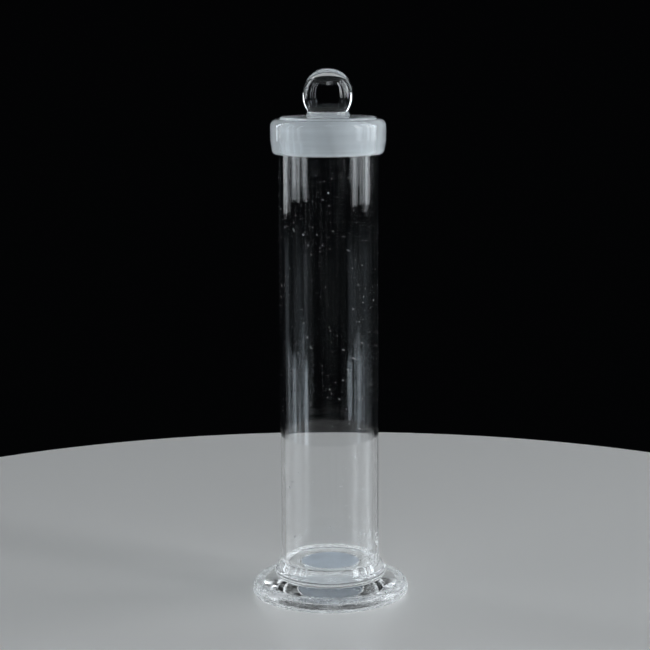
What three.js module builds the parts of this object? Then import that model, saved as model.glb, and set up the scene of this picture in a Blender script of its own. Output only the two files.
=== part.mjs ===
// A footed glass cylinder with a ground-in ball stopper, of the kind used for specimens and dry stores.
// Millimetres, +Z up. The origin is the centre of the foot's underside, on the surface the jar stands on.
//
// The jar is worked hot from four gathers that are fused face to face: foot, foot knop, tube and collar.
// The stopper is worked from two: a tapered plug, ground to fit the collar, and a solid ball knob.
// The stopper lifts straight out of the collar. Every piece is turned about the Z axis.
import * as THREE from 'three';

// ---- Driving dimensions ----
const facets = 64;                // sides of every turned piece

const footDiameter = 80.4;
const footHeight = 8.6;           // at the knop
const footRimDrop = 1.8;          // how far the top face falls from the knop to its rounded edge
const footTopRound = 3.2;         // width of the upper rounding of the edge
const footBottomRound = 1.2;
const footEdgeHeight = 2.4;       // height of the widest line of the edge
const pontilRadius = 15;          // the shallow recess under the foot, where the pontil was ground away
const pontilDepth = 1;
const pontilBevel = 1;

const tubeDiameter = 50.2;
const tubeWall = 2.2;
const tubeFlare = 0.2;            // how much the radius grows towards the heel
const tubeFlareLength = 20;
const heelRadius = 3.5;           // outside corner of the tube's closed end
const heelLand = 2.4;             // straight wall above the heel, before the flare begins
const floorThickness = 2;
const floorRound = 2.4;           // inside corner between wall and floor

const knopHeight = 9.2;           // from the foot to the lip that holds the tube's heel
const knopBulge = 3.7;            // how far the knop stands out from the tube
const knopWidestHeight = 2.9;     // height of its widest line above the foot
const knopRound = 3.3;            // radius of the upper rounding
const knopShoulder = 50;          // degrees of that rounding, before the straight slope up to the lip
const knopWaist = 0.9;            // how far it stands out where it meets the foot
const knopLip = 0.4;              // thickness of the lip around the heel
const seatLand = 0.3;             // straight wall of the heel's seat, above the heel's corner

const collarProud = 3.9;          // how far the collar stands out from the tube
const collarHeight = 17.5;
const collarBase = 226.4;         // height of the joint between tube and collar
const collarTopRound = 3.6;
const collarBottomRound = 2.2;
const collarBottomInset = 0.7;    // how much narrower the collar is at its lower corner
const collarFullHeight = 7;       // height above its base at which the collar reaches full width

const boreStep = 0.47;            // how much wider than the tube the ground bore is at its lower end
const boreTaper = 1 / 20;         // change of radius per millimetre of height
const boreShoulder = 0.9;         // the ground bore ends this far above the collar's base
const grindClearance = 0.08;      // between the ground plug and the ground bore

const plugProud = 1.4;            // how far the plug stands above the rim
const plugCrown = 0.3;            // rise of its top face from the edge to the knob
const plugEdgeRound = 0.9;
const plugFootGap = 0.7;          // the plug ends this far above the lower end of the ground bore
const plugFootBevel = 0.8;
const dishRing = 5.5;             // width of the flat ring round the dish in the plug's underside
const dishDepth = 2.2;
const dishBevel = 2;

const ballDiameter = 25;
const ballHeight = 13.6;          // from the widest line to the top
const ballLowerHeight = 13;       // the lower half is a flatter oval, cut off by the neck
const ballBluntness = 2.15;       // 2 gives a true oval, more gives a fuller shoulder
const neckRadius = 10.3;
const neckHeight = 2.5;
const neckFlare = 1.6;            // width of the fillet from the neck to the plug

// ---- Sizes that follow ----
const footRadius = footDiameter / 2;
const tubeRadius = tubeDiameter / 2;
const boreRadius = tubeRadius - tubeWall;
const heelOuterRadius = tubeRadius + tubeFlare;
const knopWaistRadius = tubeRadius + knopWaist;
const knopTop = footHeight + knopHeight;
const heelTop = knopTop - seatLand;
const tubeBottom = heelTop - heelRadius;
const floorLevel = tubeBottom + floorThickness;
const collarRadius = tubeRadius + collarProud;
const rim = collarBase + collarHeight;
const shoulder = collarBase + boreShoulder;
const plugTop = rim + plugProud;
const plugBottom = shoulder + plugFootGap;
const groundBoreAt = (z) => boreRadius + boreStep + (z - shoulder) * boreTaper;
const groundPlugAt = (z) => groundBoreAt(z) - grindClearance;

// ---- Outlines: radius and height, run anticlockwise with the axis on the left ----
const point = (radius, z) => new THREE.Vector2(radius, z);

// Points along part of an oval, angles in degrees from the outward direction.
function arc(centreRadius, centreZ, width, height, from, to, steps, bluntness = 2) {
  const bent = (part) => Math.sign(part) * Math.abs(part) ** (2 / bluntness);
  const points = [];
  for (let i = 0; i <= steps; i++) {
    const angle = THREE.MathUtils.degToRad(from + ((to - from) * i) / steps);
    const out = width * bent(Math.cos(angle));
    const up = height * bent(Math.sin(angle));
    points.push(point(centreRadius + out, centreZ + up));
  }
  return points;
}

// The closed end of the tube, from its flat bottom round the heel. The knop's seat uses the same points.
const heelOutline = () => arc(heelOuterRadius - heelRadius, heelTop, heelRadius, heelRadius, -90, 0, 4);

function footOutline() {
  const upperRound = footHeight - footRimDrop - footEdgeHeight;
  return [
    point(0, pontilDepth),
    point(pontilRadius - pontilBevel, pontilDepth),
    point(pontilRadius, 0),
    ...arc(footRadius - footBottomRound, footEdgeHeight, footBottomRound, footEdgeHeight, -90, 0, 3),
    ...arc(footRadius - footTopRound, footEdgeHeight, footTopRound, upperRound, 0, 90, 4).slice(1),
    point(knopWaistRadius, footHeight),
    point(0, footHeight),
  ];
}

function knopOutline() {
  const widest = tubeRadius + knopBulge;
  const middle = footHeight + knopWidestHeight;
  return [
    point(0, footHeight),
    ...arc(knopWaistRadius, middle, widest - knopWaistRadius, knopWidestHeight, -90, 0, 4),
    ...arc(widest - knopRound, middle, knopRound, knopRound, 0, knopShoulder, 3).slice(1),
    point(heelOuterRadius + knopLip, knopTop),
    point(heelOuterRadius, knopTop),
    ...heelOutline().reverse(),
    point(0, tubeBottom),
  ];
}

function tubeOutline() {
  const landTop = heelTop + heelLand;
  return [
    point(0, tubeBottom),
    ...heelOutline(),
    point(heelOuterRadius, landTop),
    point(tubeRadius, landTop + tubeFlareLength),
    point(tubeRadius, collarBase),
    point(boreRadius, collarBase),
    ...arc(boreRadius - floorRound, floorLevel + floorRound, floorRound, floorRound, 0, -90, 5),
    point(0, floorLevel),
  ];
}

function collarOutline() {
  const low = collarBottomRound;
  const top = collarTopRound;
  return [
    point(boreRadius, collarBase),
    ...arc(collarRadius - collarBottomInset - low, collarBase + low, low, low, -90, 0, 3),
    point(collarRadius, collarBase + collarFullHeight),
    ...arc(collarRadius - top, rim - top, top, top, 0, 90, 4),
    point(groundBoreAt(rim), rim),
    point(groundBoreAt(shoulder), shoulder),
    point(boreRadius, collarBase),
  ];
}

function plugOutline() {
  const bevelTop = plugBottom + plugFootBevel;
  const bottomRadius = groundPlugAt(bevelTop) - plugFootBevel;
  const dishRadius = bottomRadius - dishRing;
  const round = plugEdgeRound;
  const edgeBase = plugTop - plugCrown - round;
  return [
    point(0, plugBottom + dishDepth),
    point(dishRadius - dishBevel, plugBottom + dishDepth),
    point(dishRadius, plugBottom),
    point(bottomRadius, plugBottom),
    point(groundPlugAt(bevelTop), bevelTop),
    ...arc(groundPlugAt(edgeBase) - round, edgeBase, round, round, 0, 90, 3),
    point(neckRadius + neckFlare, plugTop),
    point(0, plugTop),
  ];
}

function knobOutline() {
  const ballRadius = ballDiameter / 2;
  const neckTop = plugTop + neckHeight;
  // The lower oval is cut where it has narrowed to the neck.
  const cut = THREE.MathUtils.radToDeg(Math.acos(neckRadius / ballRadius));
  const widestLine = neckTop + ballLowerHeight * Math.sin(THREE.MathUtils.degToRad(cut));
  return [
    point(0, plugTop),
    ...arc(neckRadius + neckFlare, neckTop, neckFlare, neckHeight, -90, -180, 3),
    ...arc(0, widestLine, ballRadius, ballLowerHeight, -cut, 0, 4).slice(1),
    ...arc(0, widestLine, ballRadius, ballHeight, 0, 90, 8, ballBluntness).slice(1, -1),
    point(0, widestLine + ballHeight),
  ];
}

// ---- Materials ----
const clearGlass = () => new THREE.MeshStandardMaterial({
  color: 0xe9f1f0, roughness: 0.04, metalness: 0, transparent: true, opacity: 0.35,
});
const groundGlass = () => new THREE.MeshStandardMaterial({
  color: 0xdfe3e4, roughness: 0.75, metalness: 0, transparent: true, opacity: 0.85,
});

// ---- Pieces ----
function turned(name, outline, material) {
  const geometry = new THREE.LatheGeometry(outline, facets);
  geometry.rotateX(Math.PI / 2); // the lathe turns about Y, and the jar stands along Z
  const mesh = new THREE.Mesh(geometry, material);
  mesh.name = name;
  return mesh;
}

const jar = new THREE.Group();
jar.add(
  turned('foot', footOutline(), clearGlass()),
  turned('foot_knop', knopOutline(), clearGlass()),
  turned('tube', tubeOutline(), clearGlass()),
  turned('mouth_collar', collarOutline(), clearGlass()),
);

const stopper = new THREE.Group();
stopper.add(
  turned('stopper_plug', plugOutline(), groundGlass()),
  turned('ball_knob', knobOutline(), clearGlass()),
);

const canister = new THREE.Group();
canister.add(jar, stopper);

export default canister;
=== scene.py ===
import math
import random

import bmesh
import bpy
from mathutils import Euler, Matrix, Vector


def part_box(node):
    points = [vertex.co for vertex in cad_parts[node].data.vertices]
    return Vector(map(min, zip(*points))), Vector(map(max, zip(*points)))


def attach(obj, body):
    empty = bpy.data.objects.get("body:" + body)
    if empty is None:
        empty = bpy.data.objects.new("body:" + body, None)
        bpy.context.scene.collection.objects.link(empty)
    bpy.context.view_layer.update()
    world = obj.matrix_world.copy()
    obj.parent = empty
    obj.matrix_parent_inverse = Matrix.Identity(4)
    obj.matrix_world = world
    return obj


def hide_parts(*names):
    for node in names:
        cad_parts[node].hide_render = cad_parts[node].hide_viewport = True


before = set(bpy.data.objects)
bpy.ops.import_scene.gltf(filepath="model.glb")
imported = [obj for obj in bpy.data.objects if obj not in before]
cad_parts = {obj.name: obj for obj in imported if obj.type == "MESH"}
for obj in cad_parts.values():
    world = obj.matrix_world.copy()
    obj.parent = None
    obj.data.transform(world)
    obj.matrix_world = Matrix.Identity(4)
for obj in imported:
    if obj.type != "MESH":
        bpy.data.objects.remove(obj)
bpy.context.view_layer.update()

mm = 0.001
print("frame loaded:", len(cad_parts), "nodes")

cameraSettings = {
    "distance": 0.927,      # along -Y from the jar's axis
    "height": 0.2891,       # above the table
    "tilt": 9.165,          # degrees below level
    "turn": 0.129,          # degrees to the left of the axis
    "roll": -0.316,         # degrees, the jar leans a little in view
    "sensor": 36.0,
    "lens": 102.33,
    "clipStart": 0.01,
}


def placeCamera(s):
    data = bpy.data.cameras.new("camera")
    data.sensor_width = s["sensor"]
    data.lens = s["lens"]
    data.clip_start = s["clipStart"]
    camera = bpy.data.objects.new("camera", data)
    bpy.context.collection.objects.link(camera)
    aim = Euler((math.radians(90 - s["tilt"]), 0, math.radians(s["turn"]))).to_matrix()
    roll = Euler((0, 0, math.radians(s["roll"]))).to_matrix()
    camera.rotation_euler = (aim @ roll).to_euler()
    camera.location = (0, -s["distance"], s["height"])
    bpy.context.scene.camera = camera


placeCamera(cameraSettings)
print("camera placed")


def addNode(tree, kind, inputs=None, **settings):
    # inputs: socket name or number -> value or another node's socket
    node = tree.nodes.new(kind)
    for key, value in settings.items():
        setattr(node, key, value)
    for key, value in (inputs or {}).items():
        socket = node.inputs[key]
        if isinstance(value, bpy.types.NodeSocket):
            tree.links.new(value, socket)
        else:
            socket.default_value = value
    return node


def maths(tree, operation, a, b=0.0, clamp=False):
    node = addNode(tree, "ShaderNodeMath", {0: a, 1: b}, operation=operation, use_clamp=clamp)
    return node.outputs[0]


def combine(tree, x, y, z):
    return addNode(tree, "ShaderNodeCombineXYZ", {0: x, 1: y, 2: z}).outputs[0]


def separate(tree, vector):
    return addNode(tree, "ShaderNodeSeparateXYZ", {0: vector}).outputs


def newTree(name, inputs):
    # inputs: (name, socket type, default)
    tree = bpy.data.node_groups.new(name, "GeometryNodeTree")
    tree.interface.new_socket(name="Geometry", in_out="INPUT", socket_type="NodeSocketGeometry")
    for label, kind, value in inputs:
        socket = tree.interface.new_socket(name=label, in_out="INPUT", socket_type=kind)
        if value is not None:
            socket.default_value = value
    tree.interface.new_socket(name="Geometry", in_out="OUTPUT", socket_type="NodeSocketGeometry")
    return tree


def applyTree(mesh, tree, values, name):
    # runs a tree on a mesh and gives the result as a plain object with no modifier
    obj = bpy.data.objects.new(name, mesh)
    bpy.context.collection.objects.link(obj)
    modifier = obj.modifiers.new("shape", "NODES")
    modifier.node_group = tree
    for item in tree.interface.items_tree:
        if item.item_type == "SOCKET" and item.in_out == "INPUT" and item.name in values:
            modifier[item.identifier] = values[item.name]
    depsgraph = bpy.context.evaluated_depsgraph_get()
    made = bpy.data.meshes.new_from_object(
        obj.evaluated_get(depsgraph), preserve_all_data_layers=True, depsgraph=depsgraph)
    obj.modifiers.clear()
    obj.data = made
    made.name = name
    return obj


def newMaterial(name):
    material = bpy.data.materials.new(name)
    material.use_nodes = True
    tree = material.node_tree
    tree.nodes.clear()
    output = tree.nodes.new("ShaderNodeOutputMaterial")
    return material, tree, output


def ownPlace(tree):
    return addNode(tree, "ShaderNodeTexCoord").outputs["Object"]


def stretched(tree, vector, scale):
    return addNode(tree, "ShaderNodeMapping", {"Vector": vector, "Scale": scale}).outputs[0]


def pattern(tree, scale, detail=2.0, roughness=0.5, distortion=0.0):
    # noise on the piece's own coordinates, with three scales in cells to the metre
    return addNode(tree, "ShaderNodeTexNoise", {
        "Vector": stretched(tree, ownPlace(tree), scale), "Scale": 1.0, "Detail": detail,
        "Roughness": roughness, "Distortion": distortion}).outputs["Fac"]


def ramp(tree, value, levels, results=(0.0, 1.0)):
    # goes from the first result to the second while value goes between the two levels
    return addNode(tree, "ShaderNodeMapRange", {
        "Value": value, "From Min": levels[0], "From Max": levels[1],
        "To Min": results[0], "To Max": results[1]}).outputs["Result"]


def bump(tree, height, distance, normal=None):
    inputs = {"Height": height, "Distance": distance, "Strength": 1.0}
    if normal is not None:
        inputs["Normal"] = normal
    return addNode(tree, "ShaderNodeBump", inputs).outputs["Normal"]


def glassShader(tree, s, normal, roughness, through=1.0):
    return addNode(tree, "ShaderNodeBsdfPrincipled", {
        "Base Color": (*s["tint"], 1), "IOR": s["ior"], "Transmission Weight": through,
        "Roughness": roughness, "Normal": normal}).outputs[0]


def letLampsThrough(tree, output, shader, tint):
    # glass passes lamp light on to what stands behind it
    ray = addNode(tree, "ShaderNodeLightPath").outputs["Is Shadow Ray"]
    clear = addNode(tree, "ShaderNodeBsdfTransparent", {"Color": (*tint, 1)}).outputs[0]
    mixed = addNode(tree, "ShaderNodeMixShader", {0: ray, 1: shader, 2: clear})
    tree.links.new(mixed.outputs[0], output.inputs["Surface"])


clearLook = {
    "tint": (0.99, 0.994, 0.996),
    "lampTint": (0.84, 0.85, 0.85),        # what is left of lamp light at each surface it crosses
    "ior": 1.5,
    # slow unevenness of hand-worked glass
    "waves": {"scale": (60, 60, 3), "detail": 1.5, "roughness": 0.45},
    "waveDepth": 0.07 * mm,
    # drawn streaks: fine round the tube, long up it
    "lines": {"scale": (480, 480, 0.8), "detail": 3.0, "roughness": 0.62},
    "lineDepth": 0.042 * mm,
    "fineLines": {"scale": (1500, 1500, 1.5), "detail": 2.0},
    "fineDepth": 0.012 * mm,
    # finger smudges, a little rough
    "smudges": {"scale": (90, 90, 60), "detail": 5.0, "roughness": 0.62, "distortion": 0.4},
    "smudgeLevels": (0.56, 0.78),
    "haze": 0.03,                          # roughness in the middle of a smudge
    # a thin film in upright streaks, as rinsed glass dries
    "film": {"scale": (620, 620, 5), "detail": 3.0, "roughness": 0.7},
    "filmLevels": (0.52, 0.74),
    "filmPatches": {"scale": (45, 45, 22), "detail": 3.0, "roughness": 0.6},
    "filmPatchLevels": (0.35, 0.65),
    "filmLeast": 0.25,                     # share of the film left between its patches
    "veil": 0.024,                         # most light the film holds back
    # short thin marks in two directions, each with its turn and shift
    "scratchTurns": (((0.5, 0.35, 0.2), 0.3), ((-0.8, 0.9, 0.1), 0.7)),
    "scratchScale": (1700, 1700, 90),
    "scratchLevels": (0.865, 0.885),       # nearer 1 leaves fewer
    "scratchDepth": 0.03 * mm,
    "scratchRough": 0.5,
    "scratchHeld": 0.5,                    # share of light a scratch holds back
}


def wallNormal(tree, s, drawn):
    normal = bump(tree, pattern(tree, **s["waves"]), s["waveDepth"])
    if drawn:
        normal = bump(tree, pattern(tree, **s["lines"]), s["lineDepth"], normal)
        normal = bump(tree, pattern(tree, **s["fineLines"]), s["fineDepth"], normal)
    return normal


def smudges(tree, s):
    return ramp(tree, pattern(tree, **s["smudges"]), s["smudgeLevels"], (0.0, s["haze"]))


def veil(tree, s):
    streaks = ramp(tree, pattern(tree, **s["film"]), s["filmLevels"])
    patches = ramp(tree, pattern(tree, **s["filmPatches"]), s["filmPatchLevels"], (s["filmLeast"], 1.0))
    return maths(tree, "MULTIPLY", maths(tree, "MULTIPLY", streaks, patches), s["veil"])


def scratches(tree, s):
    place = ownPlace(tree)
    marks = 0.0
    for turn, shift in s["scratchTurns"]:
        turned = addNode(tree, "ShaderNodeMapping", {
            "Vector": place, "Rotation": turn, "Location": (shift, shift, shift)}).outputs[0]
        grain = addNode(tree, "ShaderNodeTexNoise", {
            "Vector": stretched(tree, turned, s["scratchScale"]), "Scale": 1.0,
            "Detail": 0.0}).outputs["Fac"]
        marks = maths(tree, "MAXIMUM", marks, ramp(tree, grain, s["scratchLevels"]))
    return marks


def clearGlass(name, s, drawn=False):
    material, tree, output = newMaterial(name)
    normal = wallNormal(tree, s, drawn)
    rough = smudges(tree, s)
    through = 1.0
    if drawn:
        marks = scratches(tree, s)
        normal = bump(tree, marks, -s["scratchDepth"], normal)
        rough = maths(tree, "MAXIMUM", rough, maths(tree, "MULTIPLY", marks, s["scratchRough"]))
        held = maths(tree, "MAXIMUM", veil(tree, s), maths(tree, "MULTIPLY", marks, s["scratchHeld"]))
        through = maths(tree, "SUBTRACT", 1.0, held)
    letLampsThrough(tree, output, glassShader(tree, s, normal, rough, through), s["lampTint"])
    return material


# dried mineral specks low on one side of the inner wall, and lone specks all over it
depositLook = {
    "side": (0.004, 0.021),      # along +X, where the deposit starts and where it is full
    "height": (0.050, 0.026),    # where it starts from above and where it is full
    "patches": {"scale": (260, 260, 200), "detail": 4.0, "roughness": 0.65},
    "patchLevels": (0.36, 0.62),
    "specks": {"scale": (1250, 1250, 1100), "detail": 2.0, "roughness": 0.6},
    "speckLevel": 0.80,          # where a speck begins on bare wall
    "speckDrop": 0.38,           # how far the full deposit lowers that
    "speckEdge": 14.0,           # how sharply a speck ends
    "dust": (330, 330, 300),
    "dustSize": 0.11,
    "dustRarity": 0.955,         # nearer 1 leaves fewer
    "relief": 0.06 * mm,
    "rough": 0.75,
    "held": 0.9,                 # share of light a speck holds back
}


def deposit(tree, d):
    place = separate(tree, ownPlace(tree))
    zone = maths(tree, "MULTIPLY", ramp(tree, place[0], d["side"]), ramp(tree, place[2], d["height"]))
    patches = ramp(tree, pattern(tree, **d["patches"]), d["patchLevels"])
    lowered = maths(tree, "MULTIPLY", maths(tree, "MULTIPLY", zone, patches), d["speckDrop"])
    edge = maths(tree, "SUBTRACT", d["speckLevel"], lowered)
    over = maths(tree, "SUBTRACT", pattern(tree, **d["specks"]), edge)
    return maths(tree, "MULTIPLY", over, d["speckEdge"], clamp=True)


def dust(tree, d):
    spots = addNode(tree, "ShaderNodeTexVoronoi", {
        "Vector": stretched(tree, ownPlace(tree), d["dust"]), "Scale": 1.0}).outputs
    chance = addNode(tree, "ShaderNodeSeparateColor", {0: spots["Color"]}).outputs[0]
    near = maths(tree, "LESS_THAN", spots["Distance"], maths(tree, "MULTIPLY", chance, d["dustSize"]))
    return maths(tree, "MULTIPLY", near, maths(tree, "GREATER_THAN", chance, d["dustRarity"]))


def depositGlass(name, s, d):
    material, tree, output = newMaterial(name)
    cover = maths(tree, "MAXIMUM", deposit(tree, d), dust(tree, d))
    normal = bump(tree, cover, d["relief"], wallNormal(tree, s, True))
    rough = maths(tree, "MAXIMUM", smudges(tree, s), maths(tree, "MULTIPLY", cover, d["rough"]))
    held = maths(tree, "MAXIMUM", veil(tree, s), maths(tree, "MULTIPLY", cover, d["held"]))
    through = maths(tree, "SUBTRACT", 1.0, held)
    letLampsThrough(tree, output, glassShader(tree, s, normal, rough, through), s["lampTint"])
    return material


# edges rubbed by use, with small chips on one stretch of the foot's rim
wornLook = {
    "waves": {"scale": (60, 60, 3), "detail": 1.5},
    "waveDepth": 0.035 * mm,
    "scuffs": {"scale": (800, 800, 800), "detail": 4.0, "roughness": 0.7},
    "scuffDepth": 0.012 * mm,
    # rubbed lines that run round the edge
    "long": {"scale": (50, 50, 1600), "detail": 3.0, "roughness": 0.65},
    "longDepth": 0.020 * mm,
    "patches": {"scale": (120, 120, 300), "detail": 5.0, "roughness": 0.7},
    "patchShare": 0.6,           # wear is this much patches
    "longShare": 0.4,            # and this much rubbed lines
    "wearLevels": (0.40, 0.64),
    "rough": (0.06, 0.46),
    "throughLevels": (0.34, 0.68),
    "through": (0.92, 0.50),     # share of light let through where little and much worn
    "chips": (650, 650, 650),
    "chipWidth": 0.6,
    "chipDepth": 0.16 * mm,
    "chipWear": 0.3,             # how much a chip adds to the wear
    "chipSpot": (-0.026, -0.022, 0.006),
    "chipReach": (0.008, 0.016),  # most chips nearer that spot than this, none past this
    "chipGaps": {"scale": (260, 260, 260), "detail": 2.0},
    "chipGapLevels": (0.44, 0.56),
}


def chipped(tree, w):
    place = ownPlace(tree)
    cells = addNode(tree, "ShaderNodeTexVoronoi", {
        "Vector": stretched(tree, place, w["chips"]), "Scale": 1.0}).outputs["Distance"]
    away = addNode(tree, "ShaderNodeVectorMath", {
        0: place, 1: w["chipSpot"]}, operation="DISTANCE").outputs["Value"]
    zone = ramp(tree, away, w["chipReach"], (1.0, 0.0))
    gaps = ramp(tree, pattern(tree, **w["chipGaps"]), w["chipGapLevels"])
    shape = ramp(tree, cells, (0.0, w["chipWidth"]), (1.0, 0.0))
    return maths(tree, "MULTIPLY", shape, maths(tree, "MULTIPLY", zone, gaps))


def wornGlass(name, s, w):
    material, tree, output = newMaterial(name)
    rubbed = pattern(tree, **w["long"])
    chips = chipped(tree, w)
    normal = bump(tree, pattern(tree, **w["waves"]), w["waveDepth"])
    normal = bump(tree, rubbed, w["longDepth"], normal)
    normal = bump(tree, pattern(tree, **w["scuffs"]), w["scuffDepth"], normal)
    normal = bump(tree, chips, -w["chipDepth"], normal)
    wear = maths(tree, "ADD", maths(tree, "MULTIPLY", pattern(tree, **w["patches"]), w["patchShare"]),
                 maths(tree, "MULTIPLY", rubbed, w["longShare"]))
    rough = ramp(tree, wear, w["wearLevels"], w["rough"])
    broken = maths(tree, "ADD", wear, maths(tree, "MULTIPLY", chips, w["chipWear"]))
    through = ramp(tree, broken, w["throughLevels"], w["through"])
    letLampsThrough(tree, output, glassShader(tree, s, normal, rough, through), s["lampTint"])
    return material


satinLook = {
    "waves": {"scale": (60, 60, 60), "detail": 1.5},
    "waveDepth": 0.007 * mm,
    # turning marks round the collar
    "rings": {"scale": (24, 24, 900), "detail": 3.0, "roughness": 0.6},
    "ringDepth": 0.004 * mm,
    "patches": {"scale": (70, 70, 160), "detail": 5.0, "roughness": 0.6},
    "patchLevels": (0.3, 0.7),
    "rough": (0.02, 0.11),
}


def satinGlass(name, s, w):
    material, tree, output = newMaterial(name)
    normal = bump(tree, pattern(tree, **w["waves"]), w["waveDepth"])
    normal = bump(tree, pattern(tree, **w["rings"]), w["ringDepth"], normal)
    rough = ramp(tree, pattern(tree, **w["patches"]), w["patchLevels"], w["rough"])
    letLampsThrough(tree, output, glassShader(tree, s, normal, rough), s["lampTint"])
    return material


groundLook = {
    "colour": (0.89, 0.92, 0.94),
    "lampTint": (0.60, 0.61, 0.615),
    "ior": 1.5,
    "clear": 0.80,                         # share of light that passes on through
    "grain": {"scale": (2600, 2600, 2600), "detail": 2.0, "roughness": 0.6},
    "grainDepth": 0.02 * mm,
    # turning marks of the grinder
    "rings": {"scale": (14, 14, 560), "detail": 3.0, "roughness": 0.6},
    "ringDepth": 0.01 * mm,
    "patches": {"scale": (110, 110, 70), "detail": 4.0, "roughness": 0.6},
    "patchLevels": (0.3, 0.7),
    "rough": (0.62, 0.82),
    "ringShare": 0.5,                      # how much of the shading is rings
    "patchShare": 0.5,                     # and how much is patches
    "shadeLevels": (0.3, 0.7),
    "darkest": 0.72,
}
frostLook = {**groundLook, "colour": (0.38, 0.42, 0.47), "clear": 0.15,
             "ringShare": 0.0, "ringDepth": 0.0, "shadeLevels": (0.15, 0.35)}


def groundGlass(name, s):
    material, tree, output = newMaterial(name)
    marks = pattern(tree, **s["rings"])
    patches = pattern(tree, **s["patches"])
    normal = bump(tree, pattern(tree, **s["grain"]), s["grainDepth"])
    if s["ringDepth"]:
        normal = bump(tree, marks, s["ringDepth"], normal)
    rough = ramp(tree, patches, s["patchLevels"], s["rough"])
    light = maths(tree, "ADD", maths(tree, "MULTIPLY", marks, s["ringShare"]),
                  maths(tree, "MULTIPLY", patches, s["patchShare"]))
    shade = ramp(tree, light, s["shadeLevels"], (s["darkest"], 1.0))
    tinted = addNode(tree, "ShaderNodeVectorMath", {
        0: s["colour"], "Scale": shade}, operation="SCALE").outputs[0]
    glass = addNode(tree, "ShaderNodeBsdfPrincipled", {
        "Base Color": tinted, "IOR": s["ior"], "Transmission Weight": s["clear"],
        "Roughness": rough, "Normal": normal}).outputs[0]
    letLampsThrough(tree, output, glass, s["lampTint"])
    return material


def fusedJoint(name):
    # inside one body of glass there is nothing to see where two gathers meet
    material, tree, output = newMaterial(name)
    clear = addNode(tree, "ShaderNodeBsdfTransparent").outputs[0]
    tree.links.new(clear, output.inputs["Surface"])
    return material


clear = clearGlass("clearGlass", clearLook)
drawn = clearGlass("drawnGlass", clearLook, drawn=True)
satin = satinGlass("satinGlass", clearLook, satinLook)
inside = depositGlass("insideWall", clearLook, depositLook)
worn = wornGlass("wornGlass", clearLook, wornLook)
ground = groundGlass("groundGlass", groundLook)
frosted = groundGlass("frostedFloor", frostLook)
fused = fusedJoint("fusedJoint")
looks = {"clear": clear, "ground": ground, "fused": fused, "inside": inside, "worn": worn}
print("materials made")

turning = {
    "steps": 256,                # round the axis
    "wobble": 0.14 * mm,         # of hand-worked glass, from its inmost to its outmost stray
    "wobbleRound": 1.4,          # larger strays more often round the axis
    "wobbleUp": 14.0,            # and up it
    "calm": 5 * mm,              # nearer the axis than this it strays less
    "seed": 3.0,
    "weld": 1e-6,                # points nearer than this are one
    "sharp": 38,                 # degrees, edges at least this sharp stay crisp
}


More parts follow.
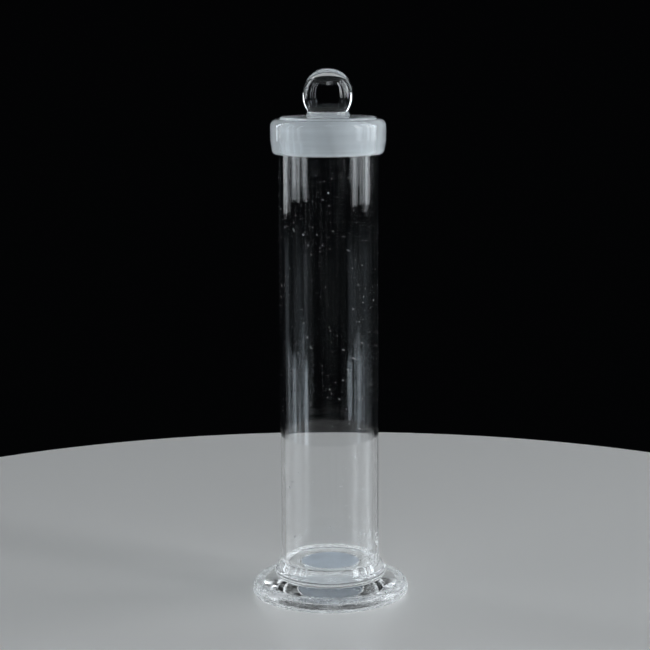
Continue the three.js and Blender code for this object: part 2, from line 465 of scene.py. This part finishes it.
def turningTree():
    # a grid whose rows take the outline's points and whose columns go round the axis
    tree = newTree("turned glass", [
        ("Rows", "NodeSocketInt", 8), ("Steps", "NodeSocketInt", 64),
        ("Wobble", "NodeSocketFloat", 0.0), ("Wobble Round", "NodeSocketFloat", 1.0),
        ("Wobble Up", "NodeSocketFloat", 10.0), ("Calm", "NodeSocketFloat", 0.01),
        ("Seed", "NodeSocketFloat", 1.0), ("Weld", "NodeSocketFloat", 0.0),
    ] + [(name, "NodeSocketMaterial", None) for name in looks])
    given = addNode(tree, "NodeGroupInput").outputs
    rows = given["Rows"]
    columns = maths(tree, "ADD", given["Steps"], 1.0)
    grid = addNode(tree, "GeometryNodeMeshGrid", {
        "Vertices X": columns, "Vertices Y": rows}).outputs["Mesh"]
    index = addNode(tree, "GeometryNodeInputIndex").outputs[0]
    # half a point is added so that the division can't fall just short of a whole column
    column = maths(tree, "FLOOR", maths(tree, "DIVIDE", maths(tree, "ADD", index, 0.5), rows))
    angle = maths(tree, "MULTIPLY", maths(tree, "DIVIDE", column, given["Steps"]), math.tau)
    spot = separate(tree, addNode(tree, "GeometryNodeSampleIndex", {
        "Geometry": given["Geometry"], "Value": addNode(tree, "GeometryNodeInputPosition").outputs[0],
        "Index": maths(tree, "MODULO", index, rows)},
        data_type="FLOAT_VECTOR", domain="POINT").outputs[0])
    cosine = maths(tree, "COSINE", angle)
    sine = maths(tree, "SINE", angle)
    # the same uneven field for every piece, so that fused edges still meet
    field = combine(tree, maths(tree, "MULTIPLY", cosine, given["Wobble Round"]),
                    maths(tree, "MULTIPLY", sine, given["Wobble Round"]),
                    maths(tree, "MULTIPLY", spot[2], given["Wobble Up"]))
    noise = addNode(tree, "ShaderNodeTexNoise", {
        "Vector": field, "W": given["Seed"], "Scale": 1.0, "Detail": 2.0, "Roughness": 0.5},
        noise_dimensions="4D").outputs["Fac"]
    stray = maths(tree, "MULTIPLY", maths(tree, "SUBTRACT", noise, 0.5), given["Wobble"])
    share = maths(tree, "MINIMUM", maths(tree, "DIVIDE", spot[0], given["Calm"]), 1.0)
    radius = maths(tree, "ADD", spot[0], maths(tree, "MULTIPLY", stray, share))
    ring = combine(tree, maths(tree, "MULTIPLY", radius, cosine),
                   maths(tree, "MULTIPLY", radius, sine), spot[2])
    # which finish each band of faces has
    bands = maths(tree, "SUBTRACT", rows, 1.0)
    named = addNode(tree, "GeometryNodeInputNamedAttribute", {
        "Name": "finish"}, data_type="INT").outputs[0]
    finish = addNode(tree, "GeometryNodeSampleIndex", {
        "Geometry": given["Geometry"], "Value": named, "Index": maths(tree, "MODULO", index, bands)},
        data_type="INT", domain="POINT").outputs[0]
    shape = addNode(tree, "GeometryNodeStoreNamedAttribute", {
        "Geometry": grid, "Name": "finish", "Value": finish},
        data_type="INT", domain="FACE").outputs[0]
    shape = addNode(tree, "GeometryNodeSetPosition", {"Geometry": shape, "Position": ring}).outputs[0]
    shape = addNode(tree, "GeometryNodeMergeByDistance", {
        "Geometry": shape, "Distance": given["Weld"]}).outputs[0]
    shape = addNode(tree, "GeometryNodeSetShadeSmooth", {"Geometry": shape}).outputs[0]
    shape = addNode(tree, "GeometryNodeRealizeInstances", {"Geometry": shape}).outputs[0]
    stored = addNode(tree, "GeometryNodeInputNamedAttribute", {
        "Name": "finish"}, data_type="INT").outputs[0]
    for number, name in enumerate(looks):
        chosen = addNode(tree, "FunctionNodeCompare", {
            2: stored, 3: number}, data_type="INT", operation="EQUAL").outputs[0]
        shape = addNode(tree, "GeometryNodeSetMaterial", {
            "Geometry": shape, "Selection": chosen, "Material": given[name]}).outputs[0]
    addNode(tree, "NodeGroupOutput", {0: shape})
    return tree


turnedTree = turningTree()


def arc(x, z, width, height, start, end, steps=10, bluntness=2.0):
    # part of an oval, degrees from straight out; bluntness over 2 gives fuller shoulders
    points = []
    for i in range(steps + 1):
        a = math.radians(start + (end - start) * i / steps)
        bent = [math.copysign(abs(v) ** (2 / bluntness), v) for v in (math.cos(a), math.sin(a))]
        points.append((x + width * bent[0], z + height * bent[1]))
    return points


def line(start, end, steps=1):
    return [(start[0] + (end[0] - start[0]) * i / steps, start[1] + (end[1] - start[1]) * i / steps)
            for i in range(steps + 1)]


def turnedPiece(name, runs, looks):
    # runs: (finish, points) in millimetres, from the axis round the outside and back
    finishes = list(looks)
    points, marks = [], []
    for finish, run in runs:
        for point in run:
            if points and math.dist(points[-1], point) * mm < turning["weld"]:
                marks[-1] = finishes.index(finish)
                continue
            points.append(point)
            marks.append(finishes.index(finish))
    outline = bpy.data.meshes.new(name + "Outline")
    outline.from_pydata([(r * mm, 0, z * mm) for r, z in points],
                        [(i, i + 1) for i in range(len(points) - 1)], [])
    outline.attributes.new("finish", "INT", "POINT").data.foreach_set("value", marks)
    piece = applyTree(outline, turnedTree, {
        "Rows": len(points), "Steps": turning["steps"], "Wobble": turning["wobble"],
        "Wobble Round": turning["wobbleRound"], "Wobble Up": turning["wobbleUp"],
        "Calm": turning["calm"], "Seed": turning["seed"], "Weld": turning["weld"], **looks}, name)
    shell = bmesh.new()
    shell.from_mesh(piece.data)
    bmesh.ops.remove_doubles(shell, verts=shell.verts, dist=turning["weld"])
    bmesh.ops.dissolve_degenerate(shell, edges=shell.edges, dist=turning["weld"] / 10)
    bmesh.ops.recalc_face_normals(shell, faces=shell.faces)
    shell.to_mesh(piece.data)
    shell.free()
    piece.data.set_sharp_from_angle(angle=math.radians(turning["sharp"]))
    tidySlots(piece.data)
    return piece


def tidySlots(mesh):
    # keeps only the materials that some face wears
    used = [mesh.materials[polygon.material_index].name for polygon in mesh.polygons]
    names = sorted(set(used))
    mesh.materials.clear()
    for name in names:
        mesh.materials.append(bpy.data.materials[name])
    mesh.polygons.foreach_set("material_index", [names.index(name) for name in used])


def sizeOf(node):
    # the node's lowest and highest point and its radius, in millimetres
    low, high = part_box(node)
    return {"low": low.z / mm, "high": high.z / mm, "radius": high.x / mm}


footBox = sizeOf("foot")
knopBox = sizeOf("foot_knop")
tubeBox = sizeOf("tube")
collarBox = sizeOf("mouth_collar")
plugBox = sizeOf("stopper_plug")
ballBox = sizeOf("ball_knob")

footSizes = {
    "pontil": 15.0,              # radius of the ground recess in the underside
    "pontilDepth": 1.0,
    "pontilBevel": 1.4,
    "rimTop": 6.8,
    "edgeHeight": 2.4,
    "topRound": 3.2,
    "bottomRound": 1.2,
    "rubbedTop": (1.2, 0.15),    # width and rise of the rubbed ring on the top face
    "crease": 26.0,              # radius at which the knop begins
    "standWear": 7.0,            # how far in from the edge the underside is rubbed
}


def makeFoot(s):
    rim = footBox["radius"]
    level = s["pontilDepth"]
    lower = rim - s["bottomRound"]
    upper = rim - s["topRound"]
    rubbed = (upper - s["rubbedTop"][0], s["rimTop"] + s["rubbedTop"][1])
    crease = (s["crease"], footBox["high"])
    return turnedPiece("foot_glass", [
        ("ground", line((0, level), (s["pontil"] - s["pontilBevel"], level), steps=6)
            + arc(s["pontil"], level, s["pontilBevel"], level, 180, 270, steps=5)),
        ("clear", line((s["pontil"], 0), (rim - s["standWear"], 0), steps=6)),
        ("worn", line((rim - s["standWear"], 0), (lower, 0), steps=3)
            + arc(lower, s["edgeHeight"], s["bottomRound"], s["edgeHeight"], -90, 0)
            + arc(upper, s["edgeHeight"], s["topRound"], s["rimTop"] - s["edgeHeight"], 0, 90, steps=14)
            + line((upper, s["rimTop"]), rubbed, steps=2)),
        ("clear", line(rubbed, crease, steps=8)),
        ("fused", line(crease, (0, footBox["high"]), steps=4)),
    ], looks)


knopSizes = {
    "waist": 26.0,
    "widestHeight": 2.9,
    "round": 3.3,
    "shoulder": 50,              # degrees of the rounding, before the slope up to the lip
    "lip": 0.4,
    "heelRound": 3.5,            # corner of the tube's heel, which sits in the knop
}


def heelArc(s):
    width = s["heelRound"]
    return arc(tubeBox["radius"] - width, tubeBox["low"] + width, width, width, -90, 0, steps=8)


def makeKnop(s):
    low = knopBox["low"]
    high = knopBox["high"]
    heel = tubeBox["radius"]
    middle = low + s["widestHeight"]
    top = arc(knopBox["radius"] - s["round"], middle, s["round"], s["round"], 0, s["shoulder"])
    bulge = knopBox["radius"] - s["waist"]
    return turnedPiece("foot_knop_glass", [
        ("fused", line((0, low), (s["waist"], low), steps=4)),
        ("clear", arc(s["waist"], middle, bulge, s["widestHeight"], -90, 0, steps=12)
            + top + line(top[-1], (heel + s["lip"], high), steps=8)
            + line((heel + s["lip"], high), (heel, high))),
        ("fused", [(heel, high)] + heelArc(s)[::-1]
            + line((heel - s["heelRound"], tubeBox["low"]), (0, tubeBox["low"]), steps=4)),
    ], looks)


tubeSizes = {
    "radius": 25.1,
    "wall": 2.2,
    "floor": 2.0,
    "floorRound": 2.4,
    "frost": 14.8,               # radius of the frosted disc on the floor
    "frostEdge": 0.8,            # width of the ring pressed round it
    "frostEdgeLow": 0.36,        # how far out that ring is deepest
    "frostEdgeDepth": 0.45,
    "land": 2.4,                 # straight wall above the heel
    "flare": 20.0,               # height over which the heel narrows to the tube
}


def makeTube(s):
    heel = tubeBox["radius"]
    high = tubeBox["high"]
    bore = s["radius"] - s["wall"]
    level = tubeBox["low"] + s["floor"]
    flareLow = tubeBox["low"] + knopSizes["heelRound"] + s["land"]
    flareHigh = flareLow + s["flare"]
    corner = s["floorRound"]
    fillet = arc(bore - corner, level + corner, corner, corner, 0, -90, steps=14)
    return turnedPiece("tube_glass", [
        ("fused", line((0, tubeBox["low"]), (heel - knopSizes["heelRound"], tubeBox["low"]), steps=4)
            + heelArc(knopSizes) + [(heel, knopBox["high"])]),
        ("clear", [(heel, knopBox["high"]), (heel, flareLow)]
            + line((heel, flareLow), (s["radius"], flareHigh), steps=8)
            + line((s["radius"], flareHigh), (s["radius"], high), steps=60)),
        ("fused", [(s["radius"], high), (bore, high)]),
        ("inside", line((bore, high), (bore, level + corner), steps=60) + fillet
            + line(fillet[-1], (s["frost"] + s["frostEdge"], level), steps=4)
            + [(s["frost"] + s["frostEdgeLow"], level - s["frostEdgeDepth"]), (s["frost"], level)]),
        ("ground", line((s["frost"], level), (0, level), steps=8)),
    ], {**looks, "clear": drawn, "ground": frosted})


collarSizes = {
    "bottomInset": 0.7,
    "bottomRound": 2.2,
    "wornSteps": 4,              # steps of the lower corner that are rubbed
    "topRound": 3.6,
    "fullHeight": 7.0,           # height at which the collar reaches its full width
    "boreStep": 0.47,            # how much wider than the tube the ground bore starts
    "boreTaper": 0.05,
    "shoulder": 0.9,
    "grind": 0.08,               # gap between the ground bore and the ground plug
}


def boreAt(z):
    s = collarSizes
    bore = tubeSizes["radius"] - tubeSizes["wall"]
    return bore + s["boreStep"] + (z - collarBox["low"] - s["shoulder"]) * s["boreTaper"]


def makeCollar(s):
    bore = tubeSizes["radius"] - tubeSizes["wall"]
    edge = collarBox["radius"]
    base = collarBox["low"]
    rim = collarBox["high"]
    low = s["bottomRound"]
    top = s["topRound"]
    shoulder = base + s["shoulder"]
    full = (edge, base + s["fullHeight"])
    corner = arc(edge - s["bottomInset"] - low, base + low, low, low, -90, 0)
    return turnedPiece("mouth_collar_glass", [
        ("fused", [(bore, base), (tubeSizes["radius"], base)]),
        ("worn", [(tubeSizes["radius"], base)] + corner[:s["wornSteps"] + 1]),
        ("clear", corner[s["wornSteps"]:]
            + line(corner[-1], full, steps=6)
            + line(full, (edge, rim - top), steps=6)
            + arc(edge - top, rim - top, top, top, 0, 90, steps=14)
            + [(boreAt(rim), rim)]),
        ("ground", line((boreAt(rim), rim), (boreAt(shoulder), shoulder), steps=16)),
        ("clear", [(boreAt(shoulder), shoulder), (bore, base)]),
    ], {**looks, "clear": satin})


plugSizes = {
    "crown": 0.3,
    "edgeRound": 0.9,
    "footBevel": 0.8,
    "dishRing": 5.5,             # width of the flat ring round the dish below
    "dishDepth": 2.2,
    "dishBevel": 2.0,
    "neckFoot": 11.9,            # radius where the knob's neck meets the plug
}


def makePlug(s):
    low = plugBox["low"]
    high = plugBox["high"]
    bevelTop = low + s["footBevel"]
    bottom = boreAt(bevelTop) - collarSizes["grind"] - s["footBevel"]
    dish = bottom - s["dishRing"]
    dishTop = low + s["dishDepth"]
    edgeBase = high - s["crown"] - s["edgeRound"]
    side = boreAt(edgeBase) - collarSizes["grind"]
    return turnedPiece("stopper_plug_glass", [
        ("clear", line((0, dishTop), (dish - s["dishBevel"], dishTop), steps=6)
            + arc(dish - s["dishBevel"], low, s["dishBevel"], s["dishDepth"], 90, 0, steps=8)
            + line((dish, low), (bottom, low), steps=3)),
        ("ground", line((bottom, low), (bottom + s["footBevel"], bevelTop), steps=2)
            + line((bottom + s["footBevel"], bevelTop), (side, edgeBase), steps=16)),
        ("clear", arc(side - s["edgeRound"], edgeBase, s["edgeRound"], s["edgeRound"], 0, 90, steps=8)
            + line((side - s["edgeRound"], high - s["crown"]), (s["neckFoot"], high), steps=8)),
        ("fused", line((s["neckFoot"], high), (0, high), steps=3)),
    ], looks)


knobSizes = {
    "neck": 10.3,
    "neckHeight": 2.5,
    "lowerHeight": 13.0,         # below the widest line, if the neck didn't cut it off
    "height": 13.6,              # above the widest line
    "bluntness": 2.15,
}


def makeKnob(s):
    low = ballBox["low"]
    wide = ballBox["radius"]
    neckFoot = plugSizes["neckFoot"]
    cut = math.degrees(math.acos(s["neck"] / wide))
    widest = low + s["neckHeight"] + s["lowerHeight"] * math.sin(math.radians(cut))
    return turnedPiece("ball_knob_glass", [
        ("fused", line((0, low), (neckFoot, low), steps=3)),
        ("clear", arc(neckFoot, low + s["neckHeight"], neckFoot - s["neck"], s["neckHeight"], -90, -180)
            + arc(0, widest, wide, s["lowerHeight"], -cut, 0, steps=16)
            + arc(0, widest, wide, s["height"], 0, 90, steps=40, bluntness=s["bluntness"])[:-1]
            + [(0, widest + s["height"])]),
    ], looks)


seeds = {
    "perArea": 1300,             # bubbles in a square metre of wall
    "size": (0.12 * mm, 0.48 * mm),    # smallest and largest radius
    "bias": 2.2,                 # over 1 gives more small ones
    "long": 1.8,                 # drawn out up the tube
    "sides": 48,                 # of the sheet they are strewn on
    "margins": (10, 2),          # millimetres without bubbles at the tube's foot and mouth
    "seed": 11,
}


def seedTree():
    # bubbles shut in the glass: small closed shells that face inwards
    tree = newTree("seeds", [
        ("Density", "NodeSocketFloat", 100.0), ("Small", "NodeSocketFloat", 0.0001),
        ("Large", "NodeSocketFloat", 0.0004), ("Bias", "NodeSocketFloat", 1.0),
        ("Long", "NodeSocketFloat", 1.5), ("Seed", "NodeSocketInt", 1),
        ("Glass", "NodeSocketMaterial", None)])
    given = addNode(tree, "NodeGroupInput").outputs
    points = addNode(tree, "GeometryNodeDistributePointsOnFaces", {
        "Mesh": given["Geometry"], "Density": given["Density"], "Seed": given["Seed"]}).outputs["Points"]
    bubble = addNode(tree, "GeometryNodeMeshIcoSphere", {
        "Radius": 1.0, "Subdivisions": 3}).outputs["Mesh"]
    bubble = addNode(tree, "GeometryNodeFlipFaces", {0: bubble}).outputs[0]
    share = addNode(tree, "FunctionNodeRandomValue", {
        2: 0.0, 3: 1.0, "Seed": given["Seed"]}, data_type="FLOAT").outputs[1]
    share = maths(tree, "POWER", share, given["Bias"])
    spread = maths(tree, "SUBTRACT", given["Large"], given["Small"])
    size = maths(tree, "ADD", given["Small"], maths(tree, "MULTIPLY", spread, share))
    shape = addNode(tree, "GeometryNodeInstanceOnPoints", {
        "Points": points, "Instance": bubble,
        "Scale": combine(tree, size, size, maths(tree, "MULTIPLY", size, given["Long"]))}).outputs[0]
    shape = addNode(tree, "GeometryNodeRealizeInstances", {"Geometry": shape}).outputs[0]
    shape = addNode(tree, "GeometryNodeSetShadeSmooth", {"Geometry": shape}).outputs[0]
    shape = addNode(tree, "GeometryNodeSetMaterial", {
        "Geometry": shape, "Material": given["Glass"]}).outputs[0]
    addNode(tree, "NodeGroupOutput", {0: shape})
    return tree


def addSeeds(piece, s, radius, low, high):
    sheet = bmesh.new()
    bmesh.ops.create_cone(sheet, segments=s["sides"], radius1=radius * mm, radius2=radius * mm,
                          depth=(high - low) * mm)
    bmesh.ops.translate(sheet, verts=sheet.verts, vec=(0, 0, (low + high) / 2 * mm))
    middle = bpy.data.meshes.new("wallMiddle")
    sheet.to_mesh(middle)
    sheet.free()
    bubbles = applyTree(middle, seedTree(), {
        "Density": s["perArea"], "Small": s["size"][0], "Large": s["size"][1],
        "Bias": s["bias"], "Long": s["long"], "Seed": s["seed"], "Glass": clear}, "bubbles")
    joined = bmesh.new()
    joined.from_mesh(piece.data)
    piece.data.materials.append(clear)
    number = len(piece.data.materials) - 1
    start = len(joined.faces)
    joined.from_mesh(bubbles.data)
    joined.faces.ensure_lookup_table()
    for face in joined.faces[start:]:
        face.material_index = number
    joined.to_mesh(piece.data)
    joined.free()
    bpy.data.objects.remove(bubbles)
    tidySlots(piece.data)


foot = makeFoot(footSizes)
knop = makeKnop(knopSizes)
tube = makeTube(tubeSizes)
addSeeds(tube, seeds, tubeSizes["radius"] - tubeSizes["wall"] / 2,
         tubeBox["low"] + seeds["margins"][0], tubeBox["high"] - seeds["margins"][1])
collar = makeCollar(collarSizes)
plug = makePlug(plugSizes)
knob = makeKnob(knobSizes)
for piece, body, slotName in (
        (foot, "jar", "clear_glass"), (knop, "jar", "clear_glass"),
        (tube, "jar", "clear_glass"), (collar, "jar", "clear_glass"),
        (plug, "stopper", "ground_glass"), (knob, "stopper", "clear_glass")):
    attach(piece, body)
    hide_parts(piece.name.removesuffix("_glass"))
print("turned glass made")

studio = {
    "floorRadius": 0.38,
    "floorSides": 128,
    "floorDrop": 0.15 * mm,      # keeps the glass just clear of the table
    "floorColour": (0.76, 0.74, 0.72),
    "floorRough": 0.32,
    "floorShine": 0.4,
    "horizon": (0.0010, 0.0011, 0.0013),
    "zenith": (0.0007, 0.0007, 0.0009),
    "skyLevels": (-0.1, 0.5),    # upward part of a direction: all horizon below, all zenith above
}


def makeFloor(s):
    mesh = bpy.data.meshes.new("table")
    disc = bmesh.new()
    bmesh.ops.create_circle(disc, cap_ends=True, segments=s["floorSides"], radius=s["floorRadius"])
    bmesh.ops.translate(disc, verts=disc.verts, vec=(0, 0, -s["floorDrop"]))
    disc.to_mesh(mesh)
    disc.free()
    floor = bpy.data.objects.new("table", mesh)
    bpy.context.collection.objects.link(floor)
    material, tree, output = newMaterial("paleTable")
    surface = addNode(tree, "ShaderNodeBsdfPrincipled", {
        "Base Color": (*s["floorColour"], 1), "Roughness": s["floorRough"],
        "Specular IOR Level": s["floorShine"]}).outputs[0]
    tree.links.new(surface, output.inputs["Surface"])
    mesh.materials.append(material)


def makeWorld(s):
    world = bpy.data.worlds.new("studio")
    bpy.context.scene.world = world
    world.use_nodes = True
    tree = world.node_tree
    tree.nodes.clear()
    up = separate(tree, addNode(tree, "ShaderNodeTexCoord").outputs["Generated"])[2]
    colour = addNode(tree, "ShaderNodeMix", {
        0: ramp(tree, up, s["skyLevels"]), 6: (*s["horizon"], 1), 7: (*s["zenith"], 1)},
        data_type="RGBA")
    back = addNode(tree, "ShaderNodeBackground", {0: colour.outputs[2], 1: 1.0})
    addNode(tree, "ShaderNodeOutputWorld", {0: back.outputs[0]})


# softboxes, each a row of upright panels on an arc: from and to are degrees round from the
# camera's side of the jar, right positive; gap is the share left open between the panels, low
# and high their heights; glow is a panel's own brightness at its lower end, and rise how many
# times brighter it is higher up
lamps = [
    {"name": "rightBox", "from": 53, "to": 112, "panels": 3, "gap": 0.36,
     "low": -0.005, "high": 2.3, "glow": 1.70, "rise": 3.8, "seed": 4},
    {"name": "leftBox", "from": -94, "to": -53, "panels": 3, "gap": 0.46,
     "low": 0.024, "high": 2.2, "glow": 1.35, "rise": 1.9, "seed": 5},
    {"name": "leftBackBox", "from": -127, "to": -104, "panels": 2, "gap": 0.30,
     "low": -0.021, "high": 2.3, "glow": 1.20, "rise": 3.0, "seed": 6},
    {"name": "rightLow", "from": 50, "to": 116, "panels": 5, "gap": 0.30,
     "low": -0.75, "high": -0.03, "glow": 0.11, "rise": 1.0, "seed": 7},
    {"name": "leftLow", "from": -124, "to": -50, "panels": 5, "gap": 0.30,
     "low": -0.75, "high": -0.05, "glow": 0.10, "rise": 1.0, "seed": 8},
    {"name": "rightStreaks", "from": 66, "to": 110, "panels": 3, "gap": 0.62,
     "low": -0.75, "high": -0.195, "glow": 2.3, "rise": 1.0, "seed": 9},
    {"name": "leftStreaks", "from": -116, "to": -48, "panels": 4, "gap": 0.68,
     "low": -0.75, "high": -0.205, "glow": 2.0, "rise": 1.0, "seed": 10},
    {"name": "frontTop", "from": -14, "to": 30, "panels": 1, "gap": 0.0,
     "low": 2.3, "high": 3.3, "glow": 2.2, "rise": 1.0, "seed": 11},
]
lampSettings = {
    "away": 2.2,
    "colour": (0.89, 0.95, 1.0),
    "lowColour": (0.80, 0.91, 1.0),
    "folds": (1.6, 0.5, 1),      # brighter and dimmer bands across a panel, fewer up it
    "foldShift": 7.0,            # how far the bands differ from panel to panel
    "foldLevels": (0.38, 0.62),
    "foldGlow": (0.15, 1.85),
    "gapSpread": (0.3, 1.7),     # how unevenly the panels are spaced
    "glowSpread": (0.75, 1.25),
    "stagger": 0.06,             # how unevenly the low panels end
    "riseBy": 0.3,               # how far up a softbox it reaches its full glow
    "fade": 0.07,                # soft part at the top of a low panel, as a share of its height
    "overhead": 1.0,             # a panel that starts above this is aimed at the jar's middle
    "aim": 0.15,                 # height of the jar's middle
}


def makePanel(name, s, middle, width):
    below = s["high"] < 0
    data = bpy.data.lights.new(name, "AREA")
    data.shape = "RECTANGLE"
    data.size = width
    data.size_y = s["high"] - s["low"]
    data.energy = s["glow"] * math.pi * data.size * data.size_y
    data.color = lampSettings["lowColour" if below else "colour"]
    data.use_nodes = True
    tree = data.node_tree
    tree.nodes.clear()
    across = addNode(tree, "ShaderNodeNewGeometry").outputs["Parametric"]
    spread = addNode(tree, "ShaderNodeMapping", {
        "Vector": across, "Location": (middle * lampSettings["foldShift"], 0, 0),
        "Scale": lampSettings["folds"]}).outputs[0]
    folds = addNode(tree, "ShaderNodeTexNoise", {
        "Vector": spread, "Scale": 1.0, "Detail": 2.0}).outputs["Fac"]
    strength = ramp(tree, folds, lampSettings["foldLevels"], lampSettings["foldGlow"])
    up = separate(tree, across)[1]
    rising = ramp(tree, up, (0.0, lampSettings["riseBy"]), (1.0, s["rise"]))
    strength = maths(tree, "MULTIPLY", strength, rising)
    if below:
        fading = ramp(tree, up, (1 - lampSettings["fade"], 1.0), (1.0, 0.0))
        strength = maths(tree, "MULTIPLY", strength, fading)
    glow = addNode(tree, "ShaderNodeEmission", {"Strength": strength})
    addNode(tree, "ShaderNodeOutputLight", {0: glow.outputs[0]})
    lamp = bpy.data.objects.new(name, data)
    bpy.context.collection.objects.link(lamp)
    away = lampSettings["away"]
    lamp.location = (away * math.sin(middle), -away * math.cos(middle), (s["low"] + s["high"]) / 2)
    drop = lampSettings["aim"] - lamp.location.z if s["low"] > lampSettings["overhead"] else 0
    facing = Vector((-lamp.location.x, -lamp.location.y, drop))
    lamp.rotation_euler = facing.to_track_quat("-Z", "Y").to_euler()
    lamp.visible_camera = False


def makeLamp(s):
    rng = random.Random(s["seed"])
    step = math.radians(s["to"] - s["from"]) / s["panels"]
    for i in range(s["panels"]):
        middle = math.radians(s["from"]) + step * (i + 0.5)
        share = 1 - s["gap"] * rng.uniform(*lampSettings["gapSpread"])
        width = 2 * lampSettings["away"] * math.tan(step / 2) * share
        changed = {**s, "glow": s["glow"] * rng.uniform(*lampSettings["glowSpread"])}
        if s["high"] < 0:
            changed["high"] = s["high"] - lampSettings["stagger"] * rng.uniform(0, 1)
        makePanel(f"{s['name']}{i + 1}", changed, middle, width)


makeFloor(studio)
makeWorld(studio)
for lamp in lamps:
    makeLamp(lamp)

scene = bpy.context.scene
scene.view_settings.view_transform = "Standard"
scene.view_settings.look = "None"
# light has to pass many glass surfaces
scene.cycles.max_bounces = 24
scene.cycles.transmission_bounces = 24
scene.cycles.glossy_bounces = 12
scene.cycles.transparent_max_bounces = 32
scene.cycles.sample_clamp_indirect = 6.0
print("studio made")
